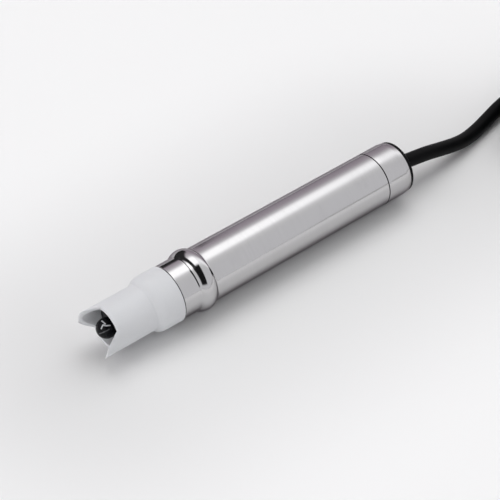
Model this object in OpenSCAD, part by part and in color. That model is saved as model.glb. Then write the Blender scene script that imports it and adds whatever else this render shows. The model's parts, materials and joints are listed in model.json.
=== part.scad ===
// pH electrode in a stainless steel barrel, lying on its side.
// X runs along the axis from the guard's tips to the cable, Z is up, and z = 0 is the resting surface.

/* [Guard] */
// Length of the guard from its tips to its rear face
guard_len = 42; // [38:0.5:48]
// How far the guard's rear part stands out over the barrel
guard_step = 0.05; // [0:0.05:0.3]
// Length of the guard's straight rear part, before the shoulder
guard_base_len = 9.2; // [7:0.2:10]
// Diameter of the guard's nose
nose_d = 23.5; // [22.8:0.1:24.6]
// Bore of the nose
nose_bore_d = 20; // [19.8:0.1:20.6]
// Radius of the shoulder's convex round
shoulder_r = 6.5; // [6:0.1:8]
// Radius of the fillet between shoulder and nose
shoulder_fillet_r = 1; // [0.5:0.1:1.5]
// Depth of the two opposed slots, from the tips
slot_depth = 7; // [5:0.1:8.5]
// Width of the slots at their floor
slot_floor_w = 13.2; // [10:0.2:15]
// Width of the slots at the tips
slot_mouth_w = 21.2; // [18:0.2:21.6]
// Turn of the slots away from upright, towards the near side
slot_turn = 21; // [0:1:90]
// Diameter of the screw thread that holds the guard
guard_thread_d = 22.4; // [22:0.1:22.6]
// Length of the guard's threaded bore
guard_thread_len = 13; // [10:0.5:14]

/* [Barrel] */
// Outside diameter of the barrel
tube_d = 28; // [27.5:0.1:29]
// Wall of the barrel
tube_wall = 1.5; // [1:0.1:1.6]
// Length of the barrel
tube_len = 127.2; // [115:0.2:160]
// How far the turned land in front of the bead lies under the barrel's surface
land_step = 0.15; // [0:0.05:0.25]
// How far the crown of the rolled bead stands out over the barrel
bead_height = 1.7; // [1.5:0.1:2.2]
// Distance of the bead's crown from the front edge
bead_at = 14; // [12.5:0.1:20]
// Radius of the bead's crown in section
crown_r = 6.7; // [5:0.1:8]
// Radius of the fillets on both sides of the bead
bead_fillet_r = 1.5; // [1:0.1:2]
// Small chamfer on the barrel's and the collar's edges
edge_chamfer = 0.25; // [0.1:0.05:0.4]

/* [Rear collar] */
// Visible length of the rear collar
collar_len = 14.8; // [12:0.2:20]
// Length of the taper at the collar's rear
collar_taper_len = 2.6; // [1:0.1:4]
// How far the taper brings the collar's surface in
collar_step = 0.35; // [0.2:0.05:0.4]
// Length of the collar's spigot inside the barrel
spigot_len = 11.6; // [9:0.2:13]
// Bore of the collar's spigot
spigot_bore_d = 19.4; // [19.2:0.1:19.6]
// Bore of the collar that takes the end cap
cap_seat_d = 20; // [19.5:0.1:21]
// Depth of the seat for the end cap
cap_seat_depth = 11.6; // [9:0.2:13]

/* [End cap] */
// Thickness of the cap's visible rim
cap_rim = 2; // [1.5:0.1:4]
// How far the cap's visible rim lies under the barrel's surface
cap_step = 0.5; // [0.4:0.05:1]
// Round on the rim's rear edge
cap_round = 0.7; // [0.3:0.1:1]
// Depth of the cap's spigot in the collar
cap_spigot_len = 10.8; // [8:0.2:11.2]
// Diameter of the head of the cable boot
boot_head_d = 13; // [12:0.2:15]
// Depth of the boot's head in the cap
boot_head_len = 4; // [3:0.2:6]
// Length of the boot's taper behind the cap
boot_len = 6; // [5:0.2:7]
// Diameter of the boot where it leaves the cap
boot_d = 11.6; // [10.5:0.1:11.8]
// Diameter of the boot at its end
boot_end_d = 9.4; // [8.8:0.1:10]

/* [Sensing end] */
// Diameter of the glass bulb
bulb_d = 9.9; // [9:0.1:11]
// Distance of the bulb's centre behind the guard's tips
bulb_at = 7.5; // [6:0.1:8.5]
// Diameter of the glass stem
stem_d = 8; // [7:0.1:8.4]
// Wall of the glass stem
stem_wall = 0.8; // [0.6:0.1:1.2]
// Wall of the glass bulb
bulb_wall = 0.5; // [0.3:0.1:0.8]
// Length of the glass stem behind the bulb's centre
stem_len = 54; // [48:0.5:55]
// Distance of the holder's front face behind the guard's tips
face_at = 11.4; // [10.6:0.1:12]
// Length of the holder inside the barrel
holder_seat_len = 25; // [24:0.2:28]
// Distance of the side bores from the axis
side_bore_at = 7.2; // [7.15:0.05:7.3]
// Diameter of the reference half cell's tube
reference_d = 4.2; // [3.8:0.1:4.4]
// Wall of the reference tube
reference_wall = 0.6; // [0.4:0.1:0.8]
// Length of the reference tube
reference_len = 50; // [40:0.5:52]
// Diameter of the temperature probe's can
probe_d = 3; // [2.4:0.1:3.4]
// Length of the temperature probe's can
probe_len = 52; // [40:0.5:53]
// How far the probe's tip stands out of the holder
probe_out = 1.6; // [1:0.1:2.4]
// Diameter of the silver wires
silver_wire_d = 0.8; // [0.5:0.1:1]

/* [Electronics] */
// Length of the circuit board
board_len = 80; // [66:1:84]
// Width of the circuit board
board_w = 18; // [16:0.5:18.4]
// Thickness of the circuit board
board_t = 1.6; // [1:0.1:2]
// Height of the board's top face under the axis
board_drop = 1.6; // [1.4:0.1:2.5]
// Length of the carrier's end rings
ring_len = 3; // [2:0.2:4]
// Diameter of the insulated wires inside
lead_d = 1.2; // [0.8:0.1:1.4]

/* [Cable] */
// Outside diameter of the cable
cable_d = 7.5; // [6.5:0.1:7.6]
// Straight length of the hank between its round ends
hank_straight = 50; // [46:1:56]
// Radius of the innermost turn of the hank, at the cable's middle
hank_inner_r = 22.5; // [22.5:0.5:24]
// Width of the two ties
tie_w = 10; // [6:0.5:12]
// Thickness of the ties
tie_t = 1.2; // [0.8:0.1:1.4]

/* [Plug] */
// Length of the plug's tapered strain relief
relief_len = 14; // [12:0.5:18]
// Diameter of the strain relief where the cable enters
relief_d = 9.6; // [9:0.1:10.4]
// Diameter of the plug's grip
grip_d = 15.2; // [15:0.1:16]
// Length of the plug's grip
grip_len = 20; // [16:0.5:24]
// Outside diameter of the coupling nut's knurled part
nut_d = 14.4; // [14:0.1:14.8]
// Length of the knurled part
knurl_len = 6.4; // [5:0.2:8]
// Diameter of the coupling thread
plug_thread_d = 12; // [11.8:0.1:12.2]
// Length of the threaded sleeve
plug_thread_len = 6; // [5:0.2:8]
// Diameter of the contact carrier inside the nut
carrier_d = 9.9; // [9.6:0.1:10.2]
// Bore of the carrier's cup
cup_d = 8.8; // [8.6:0.1:9]
// Diameter of a contact pin
pin_d = 1; // [0.8:0.1:1.2]
// Diameter of the circle that the contact pins stand on
pin_circle_d = 5; // [4.6:0.1:5.2]

/* [Fits] */
// Thickness of the flat seal behind the guard
seal_t = 0.4; // [0.3:0.05:0.6]
// Radial clearance of the screwed and turning fits
running_gap = 0.08; // [0.05:0.01:0.1]
// Radial clearance of the pieces that are bonded or pushed together
seat_gap = 0.05; // [0.03:0.01:0.08]
// Clearance between parts that must not touch
free_gap = 0.3; // [0.2:0.05:0.4]
// Thickness of the cord of the sealing rings
ring_cord_d = 1.8; // [1.6:0.1:2]

/* [Hidden] */
$fn = 96;
cut = 1;
arc_steps = 10;

// Places along the axis, measured from the front edge of the barrel
tip_s = -seal_t - guard_len;
rear_s = tube_len + collar_len;
end_s = rear_s + cap_rim;
face_s = tip_s + face_at;
bulb_s = tip_s + bulb_at;
overall = end_s - tip_s;
seam_x = -overall / 2 - tip_s;
tube_r = tube_d / 2;
bore_r = tube_r - tube_wall;
bead_r = tube_r + bead_height;
axis_h = bead_r;

// Children stand on the axis at a place s, with their own z along it towards the cable
module on_axis(s = 0) translate([seam_x + s, 0, axis_h]) rotate([0, 90, 0]) children();
module turned(outline) on_axis() rotate_extrude() polygon(outline);
module rod(from, to, r) on_axis(from) cylinder(h = to - from, r = r);
module side_rod(from, to, r, turn)
    translate([seam_x, 0, axis_h]) rotate([turn, 0, 0]) translate([from, 0, side_bore_at])
    rotate([0, 90, 0]) cylinder(h = to - from, r = r);

// Points of an arc in a turned outline: [radius, place], turned from one angle to another
function arc(centre, r, from, to, steps = arc_steps) =
    [for (i = [0 : steps]) let (a = from + (to - from) * i / steps)
        [centre[0] + r * cos(a), centre[1] + r * sin(a)]];

// Guard: a turned plastic cap with a stepped bore, cut across by one flared slot
guard_r = tube_r + guard_step;
nose_r = nose_d / 2;
nose_bore_r = nose_bore_d / 2;
guard_thread_r = guard_thread_d / 2;
shoulder_s = -seal_t - guard_base_len;
shoulder_rise = nose_r + shoulder_fillet_r - guard_r + shoulder_r;
shoulder_run = sqrt(pow(shoulder_r + shoulder_fillet_r, 2) - pow(shoulder_rise, 2));
shoulder_turn = atan2(shoulder_run, shoulder_rise);

module guard() color([0.85, 0.86, 0.87]) difference() {
    turned(concat(
        [[nose_bore_r, tip_s], [nose_r, tip_s]],
        arc([nose_r + shoulder_fillet_r, shoulder_s - shoulder_run], shoulder_fillet_r,
            180, 180 - shoulder_turn, 4),
        arc([guard_r - shoulder_r, shoulder_s], shoulder_r, -shoulder_turn, 0),
        [[guard_r, -seal_t - edge_chamfer], [guard_r - edge_chamfer, -seal_t],
            [guard_thread_r, -seal_t], [guard_thread_r, -seal_t - guard_thread_len],
            [nose_bore_r, -seal_t - guard_thread_len]]));
    guard_slot();
}

// The slot's sides flare at one angle from its floor, past the tips
module guard_slot() {
    flare = (slot_mouth_w - slot_floor_w) / 2 / slot_depth;
    half_floor = slot_floor_w / 2;
    half_out = half_floor + flare * (slot_depth + cut);
    translate([seam_x + tip_s, 0, axis_h]) rotate([slot_turn, 0, 0])
        linear_extrude(height = 4 * guard_r, center = true)
        polygon([[slot_depth, -half_floor], [slot_depth, half_floor],
            [-cut, half_out], [-cut, -half_out]]);
}

land_r = tube_r - land_step;
seal_outer_r = land_r - edge_chamfer;
module guard_seal() color([0.05, 0.05, 0.05])
    turned([[guard_thread_r, -seal_t], [seal_outer_r, -seal_t], [seal_outer_r, 0], [guard_thread_r, 0]]);

// Barrel: one tube with a bead rolled out of its wall, so the bore follows the bead
function bead_rise(base) = base + bead_fillet_r - bead_r + crown_r;
function bead_run(base) = sqrt(pow(crown_r + bead_fillet_r, 2) - pow(bead_rise(base), 2));
function bead_turn(base) = atan2(bead_run(base), bead_rise(base));
function bead_line(front, rear, inset) = concat(
    arc([front + bead_fillet_r, bead_at - bead_run(front)], bead_fillet_r + inset,
        180, 180 - bead_turn(front), 5),
    arc([bead_r - crown_r, bead_at], crown_r - inset, -bead_turn(front), bead_turn(rear), 14),
    arc([rear + bead_fillet_r, bead_at + bead_run(rear)], bead_fillet_r + inset,
        180 + bead_turn(rear), 180, 5));
function reversed(list) = [for (i = [len(list) - 1 : -1 : 0]) list[i]];

module body_tube() color([0.72, 0.71, 0.72]) turned(concat(
    [[bore_r, 0], [land_r - edge_chamfer, 0], [land_r, edge_chamfer]],
    bead_line(land_r, tube_r, 0),
    [[tube_r, tube_len - edge_chamfer], [tube_r - edge_chamfer, tube_len], [bore_r, tube_len]],
    reversed(bead_line(tube_r, tube_r, tube_wall))));

// Holder: the black turned plug that closes the barrel's front and carries the glass
holder_nose_r = nose_bore_r - 2 * running_gap;
holder_thread_r = guard_thread_r - running_gap;
holder_r = bore_r - seat_gap;
seal_groove_w = ring_cord_d + 2 * free_gap;
seal_groove_r = bore_r - ring_cord_d;
front_seal_s = [bead_at - bead_run(tube_r) - 2 * seal_groove_w, holder_seat_len - 2 * seal_groove_w];
stem_r = stem_d / 2;
stem_end_s = bulb_s + stem_len;
neck_len = 1;
module holder_groove(s) turned([[seal_groove_r, s], [holder_r + cut, s],
    [holder_r + cut, s + seal_groove_w], [seal_groove_r, s + seal_groove_w]]);

module sensor_holder() color([0.04, 0.04, 0.045]) difference() {
    turned([[0, face_s], [holder_nose_r - edge_chamfer, face_s], [holder_nose_r, face_s + edge_chamfer],
        [holder_nose_r, -seal_t - guard_thread_len + free_gap],
        [holder_thread_r, -seal_t - guard_thread_len + free_gap],
        [holder_thread_r, -neck_len], [holder_nose_r, -neck_len], [holder_nose_r, 0],
        [holder_r, 0], [holder_r, holder_seat_len], [0, holder_seat_len]]);
    for (s = front_seal_s) holder_groove(s);
    rod(face_s - cut, holder_seat_len + cut, stem_r + seat_gap);
    rod(face_s - cut, face_s + stem_seal_len, stem_seal_r);
    side_rod(face_s - cut, holder_seat_len + cut, reference_r + seat_gap, reference_turn);
    side_rod(face_s - cut, holder_seat_len + cut, probe_r + seat_gap, probe_turn);
}

module sealing_ring(s, inner_r) color([0.06, 0.06, 0.06]) on_axis(s) rotate_extrude()
    translate([inner_r + ring_cord_d / 2, 0]) circle(d = ring_cord_d - 2 * seat_gap, $fn = 24);
module front_seals() for (s = front_seal_s) sealing_ring(s + seal_groove_w / 2, seal_groove_r);

// Glass electrode: bulb and stem blown in one piece, closed behind by a cap that holds the wire
bulb_r = bulb_d / 2;
stem_bore_r = stem_r - stem_wall;
module glass_electrode() color([0.03, 0.03, 0.035]) difference() {
    union() {
        on_axis(bulb_s) sphere(r = bulb_r);
        rod(bulb_s, stem_end_s, stem_r);
    }
    on_axis(bulb_s) sphere(r = bulb_r - bulb_wall);
    rod(bulb_s, stem_end_s + cut, stem_bore_r);
}

stem_seal_len = 1.6;
stem_seal_w = 0.6;
stem_seal_r = stem_r + stem_seal_w;
module stem_seal() color([0.08, 0.08, 0.08]) difference() {
    rod(face_s + seat_gap, face_s + stem_seal_len - seat_gap, stem_seal_r - seat_gap);
    rod(face_s - cut, face_s + stem_seal_len + cut, stem_r + seat_gap);
}

silver_r = silver_wire_d / 2;
cap_plug_len = 4;
cap_flange_len = 2;
wire_front_s = bulb_s - bulb_r / 3;
wire_end_s = stem_end_s + cap_flange_len;
module stem_cap() color([0.2, 0.2, 0.22]) difference() {
    union() {
        rod(stem_end_s - cap_plug_len, stem_end_s + cut / 2, stem_bore_r - seat_gap);
        rod(stem_end_s + seat_gap, stem_end_s + cap_flange_len, stem_r);
    }
    rod(stem_end_s - cap_plug_len - cut, stem_end_s + cap_flange_len + cut, silver_r + seat_gap);
}
module measuring_wire() color([0.8, 0.8, 0.82]) rod(wire_front_s, wire_end_s, silver_r);

// Reference half cell and temperature probe, in side bores of the holder
reference_r = reference_d / 2;
reference_bore_r = reference_r - reference_wall;
reference_turn = 150;
reference_end_s = face_s + reference_len;
junction_len = 3;
probe_r = probe_d / 2;
probe_turn = -150;
probe_tip_s = face_s - probe_out;
module reference_tube() color([0.86, 0.86, 0.84]) difference() {
    side_rod(face_s, reference_end_s, reference_r, reference_turn);
    side_rod(face_s - cut, reference_end_s + cut, reference_bore_r, reference_turn);
}
module reference_junction() color([0.9, 0.88, 0.82])
    side_rod(face_s, face_s + junction_len, reference_bore_r - seat_gap, reference_turn);
module reference_wire() color([0.8, 0.8, 0.82])
    side_rod(face_s + 2 * junction_len, reference_end_s + cap_flange_len, silver_r, reference_turn);
module reference_cap() color([0.2, 0.2, 0.22]) difference() {
    union() {
        side_rod(reference_end_s - cap_plug_len, reference_end_s + cut / 2,
            reference_bore_r - seat_gap, reference_turn);
        side_rod(reference_end_s + seat_gap, reference_end_s + cap_flange_len, reference_r, reference_turn);
    }
    side_rod(reference_end_s - cap_plug_len - cut, reference_end_s + cap_flange_len + cut,
        silver_r + seat_gap, reference_turn);
}
module temperature_probe() color([0.7, 0.7, 0.7])
    translate([seam_x, 0, axis_h]) rotate([probe_turn, 0, 0])
    translate([probe_tip_s + probe_r, 0, side_bore_at]) {
        sphere(r = probe_r);
        rotate([0, 90, 0]) cylinder(h = probe_len - probe_r, r = probe_r);
    }

// A straight insulated wire between two points given as [place, y, z] from the axis
module wire(from, to, d) {
    run = to - from;
    len = norm(run);
    translate([seam_x + from[0], from[1], axis_h + from[2]])
        rotate([0, acos(run[2] / len), atan2(run[1], run[0])])
        cylinder(h = len, d = d, $fn = 24);
}
function side_place(s, turn) = [s, -side_bore_at * sin(turn), side_bore_at * cos(turn)];

// Electronics: a board held in the slots of a frame whose end rings fit the barrel, one behind
// the holder and one in front of the collar
spigot_s = tube_len - spigot_len;
frame_s = holder_seat_len + free_gap;
frame_end_s = spigot_s - free_gap;
board_s = frame_s + ring_len + free_gap;
board_end_s = board_s + board_len;
board_top = -board_drop;
board_under = board_top - board_t;
solder_len = 5;
lead_r = lead_d / 2;
pad_s = board_s + solder_len;
// A lead runs straight out of its bore in a sleeve, bends clear of the holder, and ends under the board
module side_lead(start_s, turn) {
    bend = side_place(max(holder_seat_len, start_s + lead_d), turn);
    wire(side_place(start_s, turn), bend, lead_d);
    wire(bend - [lead_r / 3, 0, 0], [pad_s, bend[1], board_under - lead_r], 0.7 * lead_d);
}
module sensor_leads() color([0.75, 0.2, 0.15]) {
    wire([wire_end_s + seat_gap, 0, 0], [pad_s, 0, board_top + lead_r + seat_gap], lead_d);
    side_lead(reference_end_s + cap_flange_len + seat_gap, reference_turn);
    side_lead(probe_tip_s + probe_len + seat_gap, probe_turn);
}

ring_r = bore_r - seat_gap;
ring_bore_share = 0.72;
slot_grip = 1;
rail_wall = 1.6;
rail_margin = 2;
rail_w = slot_grip + rail_wall;
module board_carrier() color([0.25, 0.28, 0.3]) difference() {
    union() {
        for (s = [frame_s, frame_end_s - ring_len]) difference() {
            rod(s, s + ring_len, ring_r);
            rod(s - cut, s + ring_len + cut, ring_bore_share * bore_r);
        }
        for (side = [-1, 1]) translate([seam_x + frame_s,
            side * (board_w / 2 - slot_grip + rail_w / 2) - rail_w / 2, axis_h + board_under - rail_margin])
            cube([frame_end_s - frame_s, rail_w, board_t + 2 * rail_margin]);
    }
    translate([seam_x + board_s - seat_gap, -board_w / 2 - seat_gap, axis_h + board_under - seat_gap])
        cube([board_len + 2 * seat_gap, board_w + 2 * seat_gap, board_t + 2 * seat_gap]);
}
module on_board(s, y) translate([seam_x + board_s + s, y, axis_h + board_top]) children();
module circuit_board() color([0.1, 0.35, 0.2]) on_board(0, -board_w / 2)
    translate([0, 0, -board_t]) cube([board_len, board_w, board_t]);

// Pieces on the board, placed by shares of its length and width
chip_size = [10, 7.5, 2.3];
chip_place_share = [0.16, -0.33];
processor_size = [7, 7, 1.2];
processor_place_share = [0.45, -0.11];
capacitor_r = 2;
capacitor_h = 5;
capacitor_pitch = 4.6;
capacitor_place_share = [0.21, 0.25];
terminal_size = [8, 13, 7];
terminal_inset = 2;
terminal_end_s = board_end_s - terminal_inset;
module on_board_share(share) on_board(share[0] * board_len, share[1] * board_w) children();
module amplifier_chip() color([0.06, 0.06, 0.06]) on_board_share(chip_place_share) cube(chip_size);
module processor_chip() color([0.06, 0.06, 0.06])
    on_board_share(processor_place_share) cube(processor_size);
module capacitors() color([0.3, 0.32, 0.5]) on_board_share(capacitor_place_share)
    for (i = [0 : 2]) translate([i * capacitor_pitch, 0, 0])
    cylinder(h = capacitor_h, r = capacitor_r, $fn = 32);
module terminal_block() color([0.15, 0.4, 0.25])
    on_board(board_len - terminal_inset - terminal_size[0], -terminal_size[1] / 2) cube(terminal_size);

// Rear collar: a steel plug with a spigot in the barrel and a seat for the end cap
collar_end_r = tube_r - collar_step;
spigot_r = bore_r - seat_gap;
spigot_bore_r = spigot_bore_d / 2;
cap_seat_r = cap_seat_d / 2;
rear_seal_s = spigot_s + ring_len;
module rear_collar() color([0.7, 0.69, 0.7]) turned([[spigot_bore_r, spigot_s],
    [spigot_r - edge_chamfer, spigot_s], [spigot_r, spigot_s + edge_chamfer],
    [spigot_r, rear_seal_s], [seal_groove_r, rear_seal_s],
    [seal_groove_r, rear_seal_s + seal_groove_w], [spigot_r, rear_seal_s + seal_groove_w],
    [spigot_r, tube_len], [tube_r - edge_chamfer, tube_len], [tube_r, tube_len + edge_chamfer],
    [tube_r, rear_s - collar_taper_len], [collar_end_r, rear_s],
    [cap_seat_r, rear_s], [cap_seat_r, rear_s - cap_seat_depth],
    [spigot_bore_r, rear_s - cap_seat_depth]]);
module rear_seal() sealing_ring(rear_seal_s + seal_groove_w / 2, seal_groove_r);

// End cap: plastic rim and spigot with a stepped bore for the cable and the head of its boot
cap_r = tube_r - cap_step;
cap_spigot_r = cap_seat_r - seat_gap;
cable_r = cable_d / 2;
cable_bore_r = cable_r + seat_gap;
boot_head_r = boot_head_d / 2;
head_s = end_s - boot_head_len;
module end_cap() color([0.05, 0.05, 0.05]) turned(concat(
    [[cable_bore_r, rear_s - cap_spigot_len], [cap_spigot_r - edge_chamfer, rear_s - cap_spigot_len],
        [cap_spigot_r, rear_s - cap_spigot_len + edge_chamfer], [cap_spigot_r, rear_s], [cap_r, rear_s]],
    arc([cap_r - cap_round, end_s - cap_round], cap_round, 0, 90, 5),
    [[boot_head_r + seat_gap, end_s], [boot_head_r + seat_gap, head_s], [cable_bore_r, head_s]]));

module cable_boot() color([0.05, 0.05, 0.05]) turned([[cable_bore_r, head_s + seat_gap],
    [boot_head_r, head_s + seat_gap], [boot_head_r, end_s], [boot_d / 2, end_s],
    [boot_end_d / 2, end_s + boot_len - edge_chamfer], [boot_end_d / 2 - edge_chamfer, end_s + boot_len],
    [cable_bore_r, end_s + boot_len]]);

clamp_len = 4;
clamp_wall = 1.6;
clamp_s = rear_s - cap_spigot_len - free_gap - clamp_len;
tail_out = 2;
tail_s = clamp_s - tail_out;
module cable_clamp() color([0.65, 0.65, 0.66]) difference() {
    rod(clamp_s, clamp_s + clamp_len, cable_bore_r + clamp_wall);
    rod(clamp_s - cut, clamp_s + clamp_len + cut, cable_bore_r);
}
module cable_tail() color([0.04, 0.04, 0.045]) rod(tail_s, end_s, cable_r);

core_pitch = 1.5;
terminal_pitch = 3;
core_height = board_top + terminal_size[2] / 2;
module cable_cores() color([0.75, 0.75, 0.78]) for (i = [0 : 3])
    wire([tail_s - free_gap, (i % 2 - 0.5) * 2 * core_pitch, (floor(i / 2) - 0.5) * 2 * core_pitch],
        [terminal_end_s + free_gap, (i % 2 - 0.5) * (floor(i / 2) * 2 + 1) * terminal_pitch, core_height],
        lead_d);

// Cord: route points, chosen by hand, from the end cap to the hank and from the hank to the plug
route = [[93.2, 0, 15.7], [96, 0, 15.7], [99.5, 0, 15.4], [104, 0, 14.7], [109, 0, 13.9],
    [114, 0, 13], [119, 0, 11.9], [125, 0, 10.4], [131, 0.2, 8.8], [137, 0.6, 7.2],
    [143, 1.3, 5.8], [149, 2.4, 4.8], [155, 3.8, 4.2], [161, 5.3, 3.9], [167, 6.9, 4],
    [173, 8.4, 4.3], [179, 9.8, 4.7], [185, 10.8, 5], [191, 11.5, 5.2]];
end_route = [[238, -51.8, 35.2], [233, -51.8, 35.2], [228, -51.8, 35.2], [223, -51.8, 35.2],
    [218, -51.8, 35.2], [212, -51.8, 35.2], [206, -51.8, 35.2], [199.8, -50.7, 35.4],
    [194.1, -48.3, 36], [189.1, -44.6, 36.8], [185, -40, 37.9], [181.9, -34.6, 39],
    [179.9, -28.7, 40.1], [179.3, -22.3, 41], [180.1, -15.7, 41.8], [182.5, -9.3, 42.4],
    [186.6, -3.6, 42.9], [192.1, 0.9, 43.4], [198.8, 3.7, 43.9], [206, 4.5, 44.4],
    [211, 4.5, 45], [215, 4.5, 45.6], [219, 4.5, 46.2], [223.5, 4.5, 46.6], [228, 4.5, 46.6]];
hank_x = 206;
hank_y = -25.5;
plug_x = 228;
plug_y = 4.5;

// The cord's tube has a ring of corners at every third point of its route, square to the route
cord_sides = 10;
function unit(v) = v / norm(v);
function heading(route, i) = unit(route[min(i + 1, len(route) - 1)] - route[max(i - 1, 0)]);
function cord_ring(route, i) = let(
    along = heading(route, i), side = unit(cross(along, [0, 0, 1])), over = cross(side, along))
    [for (k = [0 : cord_sides - 1]) let (a = 360 * (k + 0.5) / cord_sides)
        route[i] + cable_r * (cos(a) * side + sin(a) * over)];
module cord(route) {
    rings = [for (i = [0 : 3 : len(route) - 1]) cord_ring(route, i)];
    last = len(rings) - 1;
    polyhedron(
        points = [for (ring = rings) each ring],
        faces = concat(
            [[for (k = [0 : cord_sides - 1]) k]],
            [for (i = [0 : last - 1]) for (k = [0 : cord_sides - 1])
                [i * cord_sides + k, (i + 1) * cord_sides + k,
                    (i + 1) * cord_sides + (k + 1) % cord_sides, i * cord_sides + (k + 1) % cord_sides]],
            [[for (k = [cord_sides - 1 : -1 : 0]) last * cord_sides + k]]));
}
module cable() color([0.04, 0.04, 0.045]) cord(route);
module cable_end() color([0.04, 0.04, 0.045]) cord(end_route);

// Hank: the closed outline that the turns of the spare length fill
hank_turns_wide = 3;
hank_rows = 5;
hank_inner = hank_inner_r - cable_r;
hank_outer = hank_inner_r + (hank_turns_wide - 1) * cable_d + cable_r;
hank_base = tie_t + free_gap;
hank_h = hank_rows * cable_d;
hank_top = hank_base + hank_h;
module round_ended(r) {
    translate([0, -r]) square([hank_straight, 2 * r]);
    circle(r = r);
    translate([hank_straight, 0]) circle(r = r);
}
module cable_hank() color([0.04, 0.04, 0.045]) translate([hank_x, hank_y, hank_base])
    linear_extrude(height = hank_h) difference() {
        round_ended(hank_outer);
        round_ended(hank_inner);
    }

// A tie is a flat band round one side of the hank
module tie_outline(grow) translate([-grow, hank_inner - grow])
    square([hank_h + 2 * grow, hank_outer - hank_inner + 2 * grow]);
module tie(x, side) color([0.1, 0.1, 0.1]) translate([x - tie_w / 2, hank_y, hank_base])
    mirror([0, (1 - side) / 2, 0]) rotate([0, -90, 0]) mirror([0, 0, 1])
    linear_extrude(height = tie_w) difference() {
        tie_outline(free_gap + tie_t);
        tie_outline(free_gap);
    }
module hank_tie_side() tie(hank_x + hank_straight - tie_w, -1);
module hank_tie_front() tie(hank_x + tie_w, 1);

// Plug: moulded body, contact carrier with its cup and pins, and a coupling nut that turns on it
grip_r = grip_d / 2;
plug_z = hank_top + grip_r;
module on_plug(l = 0) translate([plug_x + l, plug_y, plug_z]) rotate([0, 90, 0]) children();
module plug_turned(outline) on_plug() rotate_extrude() polygon(outline);
grip_chamfer = 0.8;
relief_end_r = grip_r - 2 * grip_chamfer;
grip_end = relief_len + grip_len;
carrier_r = carrier_d / 2;
carrier_seat_len = 10;
seat_start = grip_end - carrier_seat_len;
module plug_body() color([0.05, 0.05, 0.055]) plug_turned([[0, 0], [relief_d / 2, 0],
    [relief_end_r, relief_len], [grip_r - grip_chamfer, relief_len], [grip_r, relief_len + grip_chamfer],
    [grip_r, grip_end - grip_chamfer], [grip_r - grip_chamfer, grip_end],
    [carrier_r + seat_gap, grip_end], [carrier_r + seat_gap, seat_start], [0, seat_start]]);

nut_start = grip_end + free_gap;
knurl_end = nut_start + knurl_len;
nut_end = knurl_end + plug_thread_len;
nut_r = nut_d / 2;
nut_bore_r = carrier_r + running_gap;
flange_rise = 0.35;
flange_r = carrier_r + flange_rise;
nut_step = nut_start + knurl_len / 2;
flange_len = 0.9;
plug_thread_r = plug_thread_d / 2;
module plug_nut() color([0.72, 0.71, 0.7]) plug_turned([[nut_bore_r, nut_start],
    [nut_r - 2 * edge_chamfer, nut_start], [nut_r, nut_start + 2 * edge_chamfer],
    [nut_r, knurl_end - 2 * edge_chamfer], [nut_r - 2 * edge_chamfer, knurl_end],
    [plug_thread_r, knurl_end], [plug_thread_r, nut_end - edge_chamfer],
    [plug_thread_r - edge_chamfer, nut_end], [flange_r + running_gap, nut_end],
    [flange_r + running_gap, nut_step], [nut_bore_r, nut_step]]);

cup_r = cup_d / 2;
cup_floor = nut_step + running_gap + flange_len;
cup_end = nut_end - 2 * edge_chamfer;
key_w = 1.2;
key_h = 0.6;
pin_r = pin_d / 2;
pin_start = seat_start + seat_gap;
pin_end = cup_end - pin_d;
module pin_place(i, l) on_plug(l) rotate([0, 0, 45 + 90 * i]) translate([pin_circle_d / 2, 0, 0])
    children();
module contact_carrier() color([0.08, 0.08, 0.09]) difference() {
    union() {
        plug_turned([[0, seat_start + seat_gap], [carrier_r, seat_start + seat_gap],
            [carrier_r, nut_step + running_gap], [flange_r, nut_step + running_gap], [flange_r, cup_floor],
            [carrier_r, cup_floor], [carrier_r, cup_end], [cup_r, cup_end], [cup_r, cup_floor],
            [0, cup_floor]]);
        on_plug(cup_floor - cut) translate([-key_w / 2, cup_r - key_h, 0])
            cube([key_w, key_h + (carrier_r - cup_r) / 2, cup_end - cup_floor + cut]);
    }
    for (i = [0 : 3]) pin_place(i, pin_start - cut) cylinder(h = nut_end, r = pin_r + seat_gap, $fn = 24);
}
module contact_pins() color([0.85, 0.68, 0.3]) for (i = [0 : 3]) {
    pin_place(i, pin_start) cylinder(h = pin_end - pin_start - pin_r, r = pin_r, $fn = 24);
    pin_place(i, pin_end - pin_r) sphere(r = pin_r, $fn = 24);
}

guard();
guard_seal();
body_tube();
sensor_holder();
front_seals();
glass_electrode();
stem_seal();
stem_cap();
measuring_wire();
reference_tube();
reference_junction();
reference_wire();
reference_cap();
temperature_probe();
sensor_leads();
board_carrier();
circuit_board();
amplifier_chip();
processor_chip();
capacitors();
terminal_block();
cable_cores();
rear_collar();
rear_seal();
end_cap();
cable_boot();
cable_clamp();
cable_tail();
cable();
cable_hank();
cable_end();
hank_tie_side();
hank_tie_front();
plug_body();
contact_carrier();
contact_pins();
plug_nut();
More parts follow.
